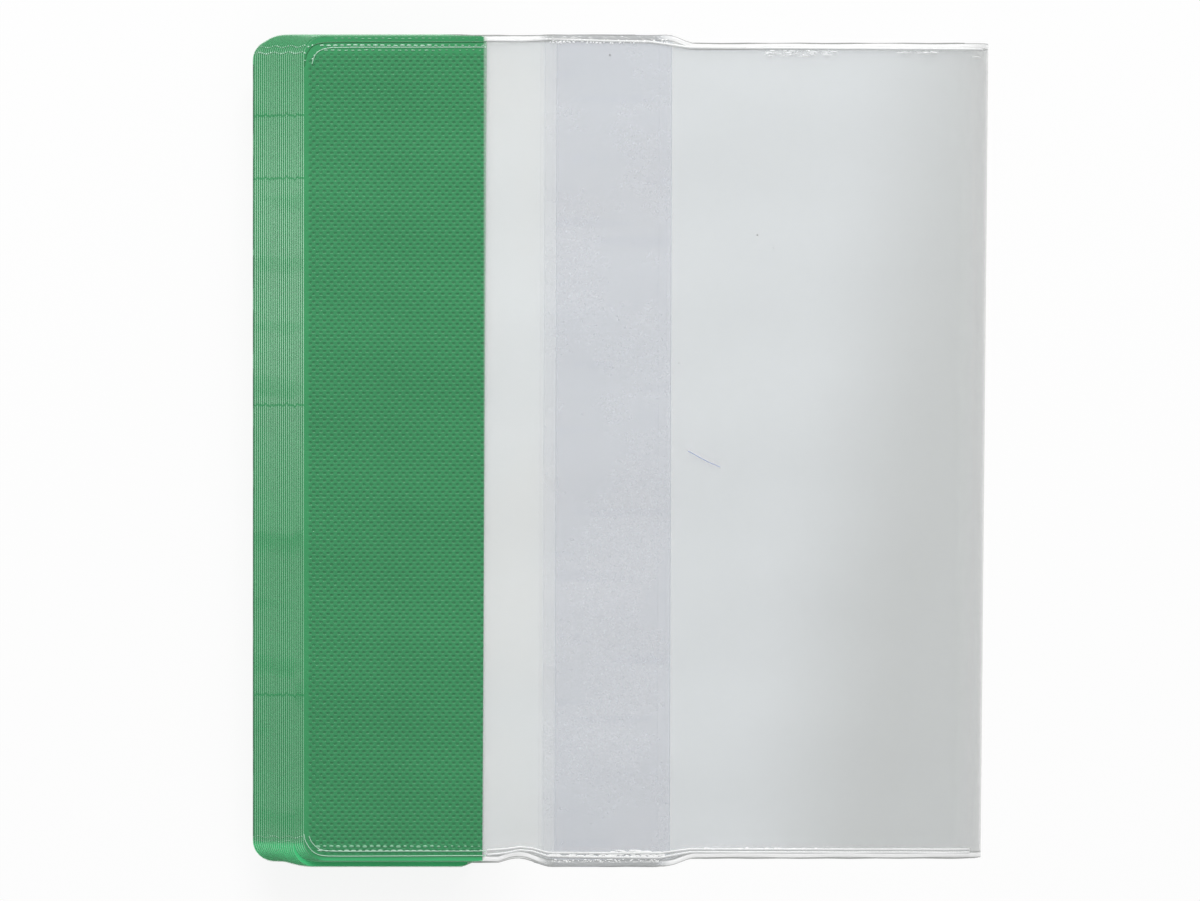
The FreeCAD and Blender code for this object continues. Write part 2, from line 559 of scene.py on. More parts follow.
def make_scuffs():
    """Rubbed streaks: noise stretched forty times along the fold."""
    group, given, out = new_group("scuffs", "Streaks", Scale=60.0)
    along = put(group, "ShaderNodeMapping", None, {"Scale": STREAK}, Vector=given["Place"]).outputs["Vector"]
    noise = put(group, "ShaderNodeTexNoise", None, {"Detail": 4}, Vector=along, Scale=given["Scale"])
    group.links.new(noise.outputs["Fac"], out["Streaks"])
    return group


def make_scales():
    """Rows of dents: a widened cosine across, of alternating sign, times the rows' cosine squared."""
    group, given, out = new_group("scales", "Dent", Across=100.0, Along=100.0)
    parts = put(group, "ShaderNodeSeparateXYZ", Vector=given["Place"]).outputs
    across = maths(group, "MULTIPLY", maths(group, "MULTIPLY", parts["X"], given["Across"]), 2 * np.pi)
    along = maths(group, "MULTIPLY", maths(group, "MULTIPLY", parts["Y"], given["Along"]), 2 * np.pi)
    row = maths(group, "COSINE", along)
    signed = maths(group, "MULTIPLY", maths(group, "COSINE", across), maths(group, "SIGN", row))
    wide = maths(group, "DIVIDE", maths(group, "ADD", signed, DENT_WIDEN), 1 + DENT_WIDEN)
    dent = maths(group, "MULTIPLY", wide, maths(group, "MULTIPLY", row, row))
    group.links.new(dent, out["Dent"])
    return group


def make_creases():
    """Wavy lines: 1 where Y, shaken by noise along X, is within a hair of one of the creases."""
    group, given, out = new_group("creases", "Mask", Shake=2.5 * MM)
    parts = put(group, "ShaderNodeSeparateXYZ", Vector=given["Place"]).outputs
    along = maths(group, "MULTIPLY", parts["X"], CREASE_GRAIN)
    noise = put(group, "ShaderNodeTexNoise", {"noise_dimensions": "1D"}, {"Scale": 1, "Detail": 2}, W=along)
    swing = maths(group, "SUBTRACT", noise.outputs["Fac"], 0.5)
    shaken = maths(group, "MULTIPLY_ADD", swing, given["Shake"], parts["Y"])
    mask = 0.0
    for pixel in CREASE_PIXELS:
        offset = maths(group, "SUBTRACT", shaken, (PICTURE_MIDDLE - pixel) * PIXEL)
        away = maths(group, "ABSOLUTE", offset)
        mask = maths(group, "MAXIMUM", mask, between(group, away, CREASE_CORE, CREASE_SIDE, 1, 0))
    group.links.new(mask, out["Mask"])
    return group


haze_group, scuff_group, scale_group = make_haze(), make_scuffs(), make_scales()
crease_group = make_creases()
print("groups:", ", ".join(group.name for group in bpy.data.node_groups))

# %% [markdown]
# ## Clear film
#
# A single film is nearly clear, and twenty-five of them together are a pale cool grey. So the film
# is a thin glossy skin that lets most of what is under it through: its alpha is the share of grey
# that one face adds. Over the green pockets it is clean and clear. Its cut edge is a pale line over
# the green, a painted highlight, and a grey line over white. The hem along the long edges is white.
# Towards the fold the film is painted darker as painted shade, lighter on the bend as painted light,
# and its crest is a painted dark line.

# %% Clear film values and helpers
FILM_GREY = (0.705, 0.732, 0.735)
# painted shade towards the fold
FOLD_SHADE_GREY = (0.565, 0.583, 0.58)
COOL_GREY = (0.675, 0.70, 0.712)
# painted light on the bend
BEND_LIGHT_GREY = (0.70, 0.715, 0.71)
WARM_GREY = (0.73, 0.725, 0.70)
HEM_WHITE = (0.95, 0.955, 0.955)
# grey of the lines and cut edges over white, and painted shade on the fold's crest
LINE_AND_CREST_SHADE_GREY = (0.36, 0.37, 0.36)
# painted highlight of the cut edges over the green
EDGE_HIGHLIGHT_GREEN = (0.37, 0.69, 0.46)
FILM_ALPHA = 0.22
POCKET_FILM_ALPHA = 0.012
EDGE_ALPHA = 0.85
EDGE_DIM = 0.4
LINE_ALPHA = 0.62
HEM_ALPHA = 0.5
HEM, HEM_SOFT = 1.7, 0.3  # mm from the rim
CUT_EDGE = (0.1, 0.32)  # mm from the rim
CLOUD_SHARE = 0.3
# painted shade in the creases: how far they dim the cut edges' highlight
CREASE_SHADE = 0.85
FILM_ROUGH, STREAK_ROUGH = 0.12, 0.16
POCKET_FADE = 0.5 * MM
FOLD_SLANT = 0.16
FOLD_DARK_FROM, FOLD_DARK_TO = 143 * MM, 196 * MM
BEND_FROM, BEND_TO = 198 * MM, 209 * MM
EDGE_GLOW_PLACE, EDGE_GLOW_REACH = 52 * MM, 85 * MM
END_FROM, END_TO, END_DIM = 120 * MM, 123 * MM, 0.35
STRAP_INSET = 73.5 * MM
STRAP_WIDTH = 35 * MM
STRAP_END = STRAP_INSET + STRAP_WIDTH
STRAP_FADE = 3 * MM
STRAP_HEM_LOSS = 0.75


def new_material(name, roughness, gloss):
    """A material with one Principled shader, and the run, height and rim of its piece."""
    material = bpy.data.materials.new(name)
    material.use_nodes = True
    tree = material.node_tree
    shader = tree.nodes["Principled BSDF"].inputs
    shader["Roughness"].default_value = roughness
    shader["Specular IOR Level"].default_value = gloss
    plan = put(tree, "ShaderNodeUVMap", {"uv_map": "run_and_height"}).outputs["UV"]
    parts = put(tree, "ShaderNodeSeparateXYZ", Vector=plan).outputs
    rim = put(tree, "ShaderNodeAttribute", {"attribute_name": "rim"}).outputs["Fac"]
    place = SimpleNamespace(plan=plan, run=parts["X"], height=parts["Y"], rim=rim)
    return material, tree, shader, place


def shared(tree, group, place, **values):
    """Puts a shared effect into a material with its own values."""
    node = put(tree, "ShaderNodeGroup", {"node_tree": group}, values, Place=place.plan)
    return node.outputs[0]


def step_at(tree, value, low, high, start=0.0, end=1.0):
    """A smooth step between two lengths, for a run or a height of the map."""
    return between(tree, value, low / UV_UNIT, high / UV_UNIT, start, end)


print(f"hem {HEM} mm wide, strap from {STRAP_INSET / MM:.1f} to {STRAP_END / MM:.1f} mm")

# %% [markdown]
# The material is put together from masks. They say where the film is past the pocket, in its white
# hem or on one of its lines, and its greys and its alpha are mixed by them. The cut edges over the
# green carry a painted highlight, strongest in the upper half. It is dim at both ends, and where a
# crease crosses them it is dimmed further as painted shade.

# %% Clear film material
def film_masks(tree, place):
    """Where the film is past the pocket, past the strap, in its hem, and on a line or cut edge."""
    past_pocket = step_at(tree, place.run, POCKET_WIDTH - POCKET_FADE, POCKET_WIDTH + POCKET_FADE / 2)
    cut_edge = between(tree, place.rim, *CUT_EDGE, 1, 0)
    strap_on = step_at(tree, place.run, STRAP_INSET - STRAP_FADE, STRAP_INSET + STRAP_FADE)
    strap_off = step_at(tree, place.run, STRAP_END - STRAP_FADE, STRAP_END + STRAP_FADE)
    on_strap = maths(tree, "SUBTRACT", strap_on, strap_off)
    white = maths(tree, "MULTIPLY_ADD", on_strap, -STRAP_HEM_LOSS, past_pocket)
    hem = maths(tree, "MULTIPLY", between(tree, place.rim, HEM - HEM_SOFT, HEM, 1, 0), white)
    line = maths(tree, "MULTIPLY", between(tree, place.rim, HEM, HEM + HEM_SOFT, 1, 0), past_pocket)
    line = maths(tree, "MAXIMUM", maths(tree, "SUBTRACT", line, hem), cut_edge)
    return SimpleNamespace(past_pocket=past_pocket, strap_off=strap_off, hem=hem, line=line)


def film_colour(tree, place, masks):
    """Greys along the run: cloudy, cooler past the strap, painted shade towards the fold and painted light
    on the bend, white at the hem.
    """
    clouds = shared(tree, haze_group, place, Scale=2.6, Low=0.4, High=0.64)
    grey = tint(tree, maths(tree, "MULTIPLY", clouds, CLOUD_SHARE), FILM_GREY, WARM_GREY)
    grey = tint(tree, masks.strap_off, grey, COOL_GREY)
    # painted shade towards the fold, painted light on the bend, and a painted dark line at the crest
    slanted = maths(tree, "SUBTRACT", place.run, maths(tree, "MULTIPLY", place.height, FOLD_SLANT))
    grey = tint(tree, step_at(tree, slanted, FOLD_DARK_FROM, FOLD_DARK_TO), grey, FOLD_SHADE_GREY)
    grey = tint(tree, step_at(tree, place.run, BEND_FROM, BEND_TO), grey, BEND_LIGHT_GREY)
    grey = tint(tree, step_at(tree, place.run, BEND_TO, HALF_LENGTH), grey, LINE_AND_CREST_SHADE_GREY)
    grey = tint(tree, masks.hem, grey, HEM_WHITE)
    # cut edges over the green get the painted highlight, over white the grey line
    return tint(tree, masks.line, grey, tint(tree, masks.past_pocket, EDGE_HIGHLIGHT_GREEN, LINE_AND_CREST_SHADE_GREY))


def edge_glow(tree, place):
    """Strength of the cut edges' painted highlight over the green: a hill along the fold, dim at both ends,
    with painted shade in creases.
    """
    low, high = EDGE_GLOW_PLACE - EDGE_GLOW_REACH, EDGE_GLOW_PLACE + EDGE_GLOW_REACH
    rising = step_at(tree, place.height, low, EDGE_GLOW_PLACE)
    falling = step_at(tree, place.height, EDGE_GLOW_PLACE, high, 1, 0)
    lit = maths(tree, "MULTIPLY", rising, falling)
    glow = maths(tree, "MULTIPLY_ADD", lit, 1 - EDGE_DIM, EDGE_DIM)
    ends = step_at(tree, maths(tree, "ABSOLUTE", place.height), END_FROM, END_TO, 1, END_DIM)
    glow = maths(tree, "MULTIPLY", glow, ends)
    # painted shade where a crease crosses the cut edges
    on_object = put(tree, "ShaderNodeTexCoord").outputs["Object"]
    creases = put(tree, "ShaderNodeGroup", {"node_tree": crease_group}, Place=on_object).outputs["Mask"]
    return maths(tree, "MULTIPLY", glow, maths(tree, "MULTIPLY_ADD", creases, -CREASE_SHADE, 1.0))


def film_alpha(tree, place, masks):
    """The greatest of three: the film's own alpha, that of the hem, and that of lines and cut edges."""
    over_green = maths(tree, "MULTIPLY", maths(tree, "SUBTRACT", 1.0, masks.past_pocket), EDGE_ALPHA)
    strength = maths(tree, "MULTIPLY", edge_glow(tree, place), over_green)
    strength = maths(tree, "MULTIPLY_ADD", masks.past_pocket, LINE_ALPHA, strength)
    gain = FILM_ALPHA - POCKET_FILM_ALPHA
    alpha = maths(tree, "MULTIPLY_ADD", masks.past_pocket, gain, POCKET_FILM_ALPHA)
    alpha = maths(tree, "MAXIMUM", alpha, maths(tree, "MULTIPLY", masks.hem, HEM_ALPHA))
    return maths(tree, "MAXIMUM", alpha, maths(tree, "MULTIPLY", masks.line, strength))


def clear_film_material():
    """Glossy clear film whose grey, alpha and gloss follow the run, the rim and soft haze."""
    material, tree, shader, place = new_material("clear_film", 0.2, 0.4)
    masks = film_masks(tree, place)
    tree.links.new(film_colour(tree, place, masks), shader["Base Color"])
    tree.links.new(film_alpha(tree, place, masks), shader["Alpha"])
    streaks = shared(tree, scuff_group, place, Scale=90)
    rubbed = maths(tree, "MULTIPLY_ADD", streaks, STREAK_ROUGH, FILM_ROUGH)
    tree.links.new(rubbed, shader["Roughness"])
    return material


clear_film = clear_film_material()
print(f"clear film alpha {FILM_ALPHA} a face, {POCKET_FILM_ALPHA} over the pockets")

# %% [markdown]
# ## Strap film and green film
#
# The strap is the same plastic with a faint blue cast. It clings to the film over it, and where it
# clings it shows fine pale blotches. The green pocket film is opaque and glossy, with painted shade
# in its dents, and smooth and brighter where it is welded to the film round its rim. Below a set
# height at its foot it is painted lighter, as painted light.

# %% Strap and green materials
STRAP_GREY = (0.484, 0.505, 0.572)
STRAP_PALE = (0.57, 0.59, 0.645)
STRAP_SIDE = (0.43, 0.45, 0.51)
STRAP_ALPHA, CLING_ALPHA, SIDE_ALPHA = 0.36, 0.15, 0.2
STRAP_EDGE = (0.12, 0.4)  # mm from its sides
GREEN = (0.034, 0.275, 0.101)
# darker green: painted shade in the dents, and wear in the scuffs
GREEN_DARK = (0.014, 0.150, 0.050)
GREEN_SMOOTH = (0.040, 0.315, 0.114)
# painted light: the green used at the pockets' foot
GREEN_PAINTED_LIGHT = (0.055, 0.600, 0.215)
# heights below which the pockets get that painted light
FAN_PAINTED_LIGHT_BELOW, TOP_PAINTED_LIGHT_BELOW = -119 * MM, -123.8 * MM
WELD_STRIP, WELD_FLAT = 2.3, 0.6  # width in mm, and the share of it without any dents
PRESSED_SHADE, STREAK_SHADE = 0.6, 0.2
GREEN_ROUGH, PRESSED_ROUGH = 0.34, 0.12
BUMP_STRENGTH, FAN_BUMP, TOP_BUMP = 0.7, 0.15 * MM, 0.14 * MM
DENT_ACROSS = 2.175 * MM
DENT_ALONG = 2.31 * MM
DENT_FROM, DENT_TO = 0.1, 0.5


def strap_material():
    """Bluish clear film with fine pale blotches where it clings and a darker line along its sides."""
    material, tree, shader, place = new_material("strap_film", 0.3, 0.5)
    blotches = shared(tree, haze_group, place, Scale=190, Low=0.5, High=0.72)
    patches = shared(tree, haze_group, place, Scale=7, Low=0.42, High=0.62)
    cling = maths(tree, "MULTIPLY", blotches, patches)
    side = between(tree, place.rim, *STRAP_EDGE, 1, 0)
    colour = tint(tree, side, tint(tree, cling, STRAP_GREY, STRAP_PALE), STRAP_SIDE)
    tree.links.new(colour, shader["Base Color"])
    alpha = maths(tree, "MULTIPLY_ADD", cling, CLING_ALPHA, STRAP_ALPHA)
    tree.links.new(maths(tree, "MULTIPLY_ADD", side, SIDE_ALPHA, alpha), shader["Alpha"])
    return material


def green_material(name, bump_depth, painted_light_below):
    """Glossy green film: painted shade in its dents, smooth on the weld round its rim, painted light at its
    foot.
    """
    material, tree, shader, place = new_material(name, 0.4, 0.4)
    dent = shared(tree, scale_group, place, Across=UV_UNIT / DENT_ACROSS, Along=UV_UNIT / DENT_ALONG)
    embossed = between(tree, place.rim, WELD_FLAT * WELD_STRIP, WELD_STRIP)
    pressed = maths(tree, "MULTIPLY", between(tree, dent, DENT_FROM, DENT_TO), embossed)
    streaks = shared(tree, scuff_group, place, Scale=14)
    # painted light at the foot of the pocket
    painted_light = step_at(tree, place.height, painted_light_below - MM, painted_light_below + MM, 1, 0)
    colour = tint(tree, embossed, tint(tree, painted_light, GREEN_SMOOTH, GREEN_PAINTED_LIGHT), GREEN)
    # painted shade in the dents; the scuffs after it darken as wear
    colour = tint(tree, maths(tree, "MULTIPLY", pressed, PRESSED_SHADE), colour, GREEN_DARK)
    colour = tint(tree, maths(tree, "MULTIPLY", streaks, STREAK_SHADE), colour, GREEN_DARK)
    tree.links.new(colour, shader["Base Color"])
    rough = maths(tree, "MULTIPLY_ADD", pressed, PRESSED_ROUGH, GREEN_ROUGH)
    tree.links.new(rough, shader["Roughness"])
    shape = {"Strength": BUMP_STRENGTH, "Distance": bump_depth}
    relief = put(tree, "ShaderNodeBump", {"invert": True}, shape, Height=pressed)
    tree.links.new(relief.outputs["Normal"], shader["Normal"])
    return material


strap_film = strap_material()
# both green finishes get painted light at their foot
green_film = green_material("green_film", FAN_BUMP, FAN_PAINTED_LIGHT_BELOW)
green_embossed = green_material("green_embossed", TOP_BUMP, TOP_PAINTED_LIGHT_BELOW)
print("materials:", ", ".join(material.name for material in bpy.data.materials))

# %% [markdown]
# ## The films
#
# A film bends at the fold when its leaf opens, so it is made in two pieces that meet at the
# outermost line of the bend. Each half is a shell over run and height. Rows are packed close near
# the long edges, where the welded hem swells into a low bead, and columns near the rounded corner
# and round the bend. Both halves keep the place they are built in; neither is attached to a leaf.

# %% Film grids
HEM_RISE = 0.1 * MM
FILM_THICK = 0.1 * MM
FINE_INSETS = np.array([0, 0.15, 0.3, 0.55, 0.8, 1.05, 1.3, 1.55, 1.8, 2.0, 2.2, 2.45, 3.4]) * MM
PLAIN_INSETS = np.array([0, 0.3, 1.0, 1.7, 2.3, 4.0]) * MM
CUT_RUNS = np.array([0.1, 0.2, 0.35, 0.7]) * MM
GAP_RUNS = np.arange(48, 80, 1.6) * MM
STEP_RUNS = np.arange(108, 121, 2) * MM
FINE_COUNTS, PLAIN_COUNTS = (60, 60), (14, 26)  # columns along the flat and rows between the hems
FILM_CORNER_COUNT, BEND_COUNT = 9, 13
DIGITS = 7  # runs that agree to a tenth of a micrometre are one column


def corner_runs(count):
    """Runs through the rounded corner, closest where its arc is steepest: one less a cosine."""
    return CORNER * (1 - np.cos(np.linspace(0, QUARTER, count)))


def one_of_each(stations):
    """All runs of several lists in rising order, each once."""
    return np.unique(np.round(np.concatenate(stations), DIGITS))


def rows_across(edges, insets, inner_rows):
    """Y of each grid point: rows at fixed insets from both edges, evenly spaced ones between them."""
    upper, lower = (edge[:, None] for edge in edges)
    share = np.linspace(0, 1, inner_rows)[None, 1:-1]
    last = insets[-1]
    middle = (lower + last) + (upper - lower - 2 * last) * share
    return np.concatenate([lower + insets, middle, (upper - insets)[:, ::-1]], axis=1)


def film_half(cover, half, fine):
    """One half of a film: the flat panel and the quarter of the bend that belongs to it."""
    columns, rows = FINE_COUNTS if fine else PLAIN_COUNTS
    flat = np.linspace(CORNER, cover.flat, columns)
    bend = cover.flat + cover.mid_radius * np.linspace(0, QUARTER, BEND_COUNT)
    gap = GAP_RUNS + longer(cover)
    runs = one_of_each([corner_runs(FILM_CORNER_COUNT), CUT_RUNS, gap, STEP_RUNS, flat, bend])
    edges = long_edges(cover, runs)
    y = rows_across(edges, FINE_INSETS if fine else PLAIN_INSETS, rows)
    run = runs[:, None]
    rim = rim_distance(edges, runs, y)
    rise = HEM_RISE * hill(2 * rim / HEM - 1) * smooth(run / CORNER - 1) * fine
    outer = on_cover(cover, run, y, -rise, half)
    inner = on_cover(cover, run, y, FILM_THICK - rise, half)
    name = f"{SIDES[half]}_film_{cover.number:02d}"
    return see_through(shell(name, outer, inner, run, y, rim, clear_film, half))


def hang_on_fold(piece):
    """Bakes the piece's placement into its points; it is attached to no leaf and keeps its place."""
    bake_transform(piece)


front_films, back_films = [], []
for cover in covers:
    front = film_half(cover, 1, fine=cover is top_cover)
    hang_on_fold(front)
    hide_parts(f"{cover.leaf}_film")
    front_films.append(front)
    back = film_half(cover, -1, fine=False)
    hang_on_fold(back)
    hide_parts("back_films", "fold_bends")
    back_films.append(back)
print(f"{len(front_films)} front and {len(back_films)} back films")

# %% [markdown]
# ## The green pockets
#
# A pocket is a green flap under the film at the end of the cover. The flap of the top cover is a
# quarter of the pack's upper side, so its embossing is real geometry: the grid has four columns and
# seven rows to each dent. The flaps under it show only a sliver each, so they are coarse shells with
# their dents in the material. Their fore-edges are rounded over, which gives the fan its lines.

# %% Pocket flaps
CLEARANCE = 0.02 * MM
UNDER_FILM = FILM_THICK + CLEARANCE
FLAP_INSET = 0.25 * MM
DENT_DEPTH = 0.13 * MM
EDGE_ROUND = 0.3 * MM
EMBOSS_TOP, EMBOSS_BOTTOM = 5.6 * MM, 5.3 * MM
MOUTH_LINE = 52.1 * MM
MOUTH_LEAN = 0.0055
GROOVE_REACH, GROOVE_SHARE = 0.45 * MM, 0.7
COLUMNS_PER_DENT, ROWS_PER_DENT = 4, 7
FLAP_CORNER_COUNT, FLAP_COLUMNS, FLAP_ROWS = 7, 9, 50
ROUNDED_RUNS = np.array([0.08, 0.18, 0.3, 0.6, 1.2, 2.4]) * MM
MOUTH_RUNS = np.arange(49, 55) * MM
fore_edge_runs = [corner_runs(FLAP_CORNER_COUNT), ROUNDED_RUNS]
dent_runs = np.arange(CORNER, POCKET_WIDTH, DENT_ACROSS / COLUMNS_PER_DENT)
coarse_runs = [*fore_edge_runs, np.linspace(CORNER, POCKET_WIDTH, FLAP_COLUMNS), MOUTH_RUNS]
fine_runs = [*fore_edge_runs, dent_runs, [POCKET_WIDTH]]
coarse_rows = np.linspace(0, 1, FLAP_ROWS)
fine_rows = np.linspace(0, 1, round(top_cover.height / (DENT_ALONG / ROWS_PER_DENT)))


def flap_grid(cover, stations, rows):
    """Run, height and rim of a flap's points: the film's edges at its weld, and a leaning mouth."""
    runs = one_of_each(stations)
    upper, lower = long_edges(cover, np.minimum(runs, SLACK_PLACE - SLACK_REACH))
    edges = upper - FLAP_INSET, lower + FLAP_INSET
    y = edges[LOWER][:, None] + (edges[UPPER] - edges[LOWER])[:, None] * rows
    run = runs[:, None] + MOUTH_LEAN * y * smooth(runs / POCKET_WIDTH)[:, None]
    rim = rim_distance(edges, runs, y)
    return run, y, rim, edges


def rounding(cover, run):
    """How much thinner the flap gets at its fore-edge: half its thickness times a parabola."""
    return 0.5 * cover.pocket * np.clip(1 - run / EDGE_ROUND, 0, 1) ** 2


def plain_flap(cover, half):
    """A pocket flap as a coarse shell."""
    run, y, rim, _ = flap_grid(cover, coarse_runs, coarse_rows)
    thinner = rounding(cover, run)
    outer = on_cover(cover, run, y, UNDER_FILM + thinner, half)
    inner = on_cover(cover, run, y, UNDER_FILM + cover.pocket - thinner, half)
    name = f"{SIDES[half]}_pocket_{cover.number:02d}"
    return shell(name, outer, inner, run, y, rim, green_film, half)


def every_eighth(count):
    """Every eighth number below count, and always the last one."""
    return np.unique(np.append(np.arange(0, count, 8), count - 1))


def walls(fine, coarse, stops, way):
    """One polygon for each step of the coarse edge, up to all the points of the fine edge over it."""
    steps = zip(stops[:-1], stops[1:], coarse[:-1], coarse[1:])
    return [np.array([[d, c, *fine[a : b + 1]]])[:, ::way] for a, b, c, d in steps]


def embossed_flap(cover):
    """The top flap: dents where the lattice of the scales passes a level, and a groove by the mouth.

    Only its face is a fine grid. Its underside has every eighth column and row of it. The embossing
    stays clear of both long edges. Towards the upper one the rim distance is held down, so that the
    material is smooth as far as the dents are.
    """
    run, y, rim, edges = flap_grid(cover, fine_runs, fine_rows)
    below_top = (edges[UPPER][:, None] - y - EMBOSS_TOP) / MM
    above_foot = (y - edges[LOWER][:, None] - EMBOSS_BOTTOM) / MM
    row = np.cos(2 * np.pi * y / DENT_ALONG)
    wide = (np.cos(2 * np.pi * run / DENT_ACROSS) * np.sign(row) + DENT_WIDEN) / (1 + DENT_WIDEN)
    lattice = wide * row**2
    inside = smooth((rim - WELD_FLAT * WELD_STRIP) / ((1 - WELD_FLAT) * WELD_STRIP))
    inside = inside * smooth(below_top + 0.5) * smooth(above_foot + 0.5)
    groove = hill((run - MOUTH_LINE) / GROOVE_REACH)
    dents = smooth((lattice - DENT_FROM) / (DENT_TO - DENT_FROM)) * inside
    press = DENT_DEPTH * np.maximum(dents * (1 - groove), GROOVE_SHARE * groove)
    face = on_cover(cover, run, y, UNDER_FILM + rounding(cover, run) + press, 1)
    columns, rows = every_eighth(y.shape[0]), every_eighth(y.shape[1])
    kept = np.ix_(columns, rows)
    under = on_cover(cover, run, y, UNDER_FILM + cover.pocket, 1)[kept]
    fine = np.arange(y.size).reshape(y.shape)
    coarse = y.size + np.arange(len(columns) * len(rows)).reshape(len(columns), len(rows))
    faces = [patch(fine), patch(coarse)[:, ::-1]]
    faces += walls(fine[:, 0], coarse[:, 0], columns, -1) + walls(fine[:, -1], coarse[:, -1], columns, 1)
    faces += walls(fine[0], coarse[0], rows, 1) + walls(fine[-1], coarse[-1], rows, -1)
    points = np.concatenate([face.reshape(-1, 3), under.reshape(-1, 3)])
    plan = np.stack([run, y], axis=-1)
    plan = np.concatenate([plan.reshape(-1, 2), plan[kept].reshape(-1, 2)])
    rim = np.clip(below_top + WELD_STRIP, 0, rim)
    rims = np.concatenate([rim.ravel(), rim[kept].ravel()])
    return new_piece(f"front_pocket_{cover.number:02d}", points, faces, plan, rims, green_embossed)


for cover in covers:
    front = embossed_flap(cover) if cover is top_cover else plain_flap(cover, 1)
    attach(front, cover.leaf)
    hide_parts(f"{cover.leaf}_pocket")
    back = plain_flap(cover, -1)
    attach(back, "back_leaves")
    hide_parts("back_pockets")
print(f"top flap has {len(bpy.data.meshes['front_pocket_01'].polygons)} faces")

# %% [markdown]
# ## The straps
#
# A strap is a band of clear film across each half, welded only at its two ends. On every other
# cover it was laid a little nearer the fold, which is why its sides show two tones.

# %% Straps
STRAP_WANDER = 3 * MM
STRAP_THICK = 0.1 * MM
STRAP_LEAN = 0.0028
strap_rows = np.concatenate([[0, 0.002, 0.006], np.linspace(0.012, 0.988, 40), [0.994, 0.998, 1]])


def strap(cover, half):
    """A strap: a flat shell under the film, as long as the film is high there."""
    start = STRAP_INSET + STRAP_WANDER * (cover.number % 2)
    runs = start + STRAP_WIDTH * np.linspace(0, 1, 9)
    upper, lower = long_edges(cover, runs)
    y = lower[:, None] + (upper - lower)[:, None] * strap_rows
    run = runs[:, None] + STRAP_LEAN * y
    to_side = np.minimum(runs - start, start + STRAP_WIDTH - runs)
    rim = np.broadcast_to(to_side[:, None] / MM, y.shape)
    outer = on_cover(cover, run, y, UNDER_FILM, half)
    inner = on_cover(cover, run, y, UNDER_FILM + STRAP_THICK, half)
    name = f"{SIDES[half]}_strap_{cover.number:02d}"
    piece = shell(name, outer, inner, run, y, rim, strap_film, half)
    return see_through(piece)


for cover in covers:
    front = strap(cover, 1)
    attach(front, cover.leaf)
    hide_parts(f"{cover.leaf}_film")
    back = strap(cover, -1)
    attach(back, "back_leaves")
    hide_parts("back_straps")
print(f"straps {STRAP_WIDTH / MM:.0f} mm wide, {STRAP_INSET / MM:.1f} mm from the fore-edge")

# %% [markdown]
# ## Welds
#
# The films are welded with a heated tool that has teeth, so a weld is a row of small pale dashes
# between two thin raised lines. They are placed here as they lie in the picture, so a helper turns
# a pixel of the picture into a run and a height on the top cover. Each dash is a low pillow: rings
# of points that shrink as they rise. Each line is a low ridge with a parabola as its section.

# %% Pillows and ridges
SUNK = 0.04 * MM
RING_COUNT = 10
RING = 2 * np.pi * np.arange(RING_COUNT) / RING_COUNT
LATITUDES = np.radians([0, 40, 70])
PILLOW_POINTS = len(LATITUDES) * RING_COUNT + 1


def plain_material(name, colour, roughness=0.3):
    """A plain plastic in one colour."""
    material, _, shader, _ = new_material(name, roughness, 0.5)
    shader["Base Color"].default_value = (*colour, 1)
    return material


def spot(pixel_x, pixel_y):
    """Run and height on the top cover under a pixel of the picture."""
    x = (np.asarray(pixel_x, dtype=float) - PACK_CENTRE_PIXEL) * PIXEL
    return x - top_cover.fore_edge, (PICTURE_MIDDLE - np.asarray(pixel_y, dtype=float)) * PIXEL


def go_with_film(piece, cover, runs):
    """What lies on the panel turns with its leaf; what reaches the bend has its placement baked and keeps
    its place.
    """
    if np.max(runs) < cover.flat:
        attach(piece, cover.leaf)
    else:
        hang_on_fold(piece)


def pillow_faces(count):
    """Faces of many pillows of three rings: two belts of quads, a cap of triangles, a flat base."""
    ring = np.arange(RING_COUNT)
    after = np.roll(ring, -1)
    belt = np.stack([ring, after, after + RING_COUNT, ring + RING_COUNT], axis=1)
    tip = np.full(RING_COUNT, PILLOW_POINTS - 1)
    cap = np.stack([ring + 2 * RING_COUNT, after + 2 * RING_COUNT, tip], axis=1)
    base = ring[None, ::-1]
    starts = PILLOW_POINTS * np.arange(count)[:, None, None]
    return [(part + starts).reshape(-1, part.shape[1]) for part in (belt, belt + RING_COUNT, cap, base)]


def pillows(name, cover, run, y, half_length, half_width, rise, material, tilt=0.0):
    """A piece of low pillows; each ring is an ellipse of cosine size at sine height, turned by tilt."""
    each = np.broadcast_arrays(np.ravel(run), y, half_length, half_width, tilt)
    run, y, length, width, tilt = (value[:, None] for value in each)
    rings = np.cos(LATITUDES)[:, None]
    across = np.append((rings * np.cos(RING)).ravel(), 0)
    along = np.append((rings * np.sin(RING)).ravel(), 0)
    up = np.append(np.repeat(np.sin(LATITUDES), RING_COUNT), 1)
    runs = run + length * across * np.cos(tilt) - width * along * np.sin(tilt)
    heights = y + length * across * np.sin(tilt) + width * along * np.cos(tilt)
    points = on_cover(cover, runs, heights, SUNK - (SUNK + rise) * up, 1).reshape(-1, 3)
    plan = np.stack([runs, heights], axis=-1).reshape(-1, 2)
    piece = new_piece(name, points, pillow_faces(len(run)), plan, np.zeros(len(points)), material)
    go_with_film(piece, cover, runs)
    return piece


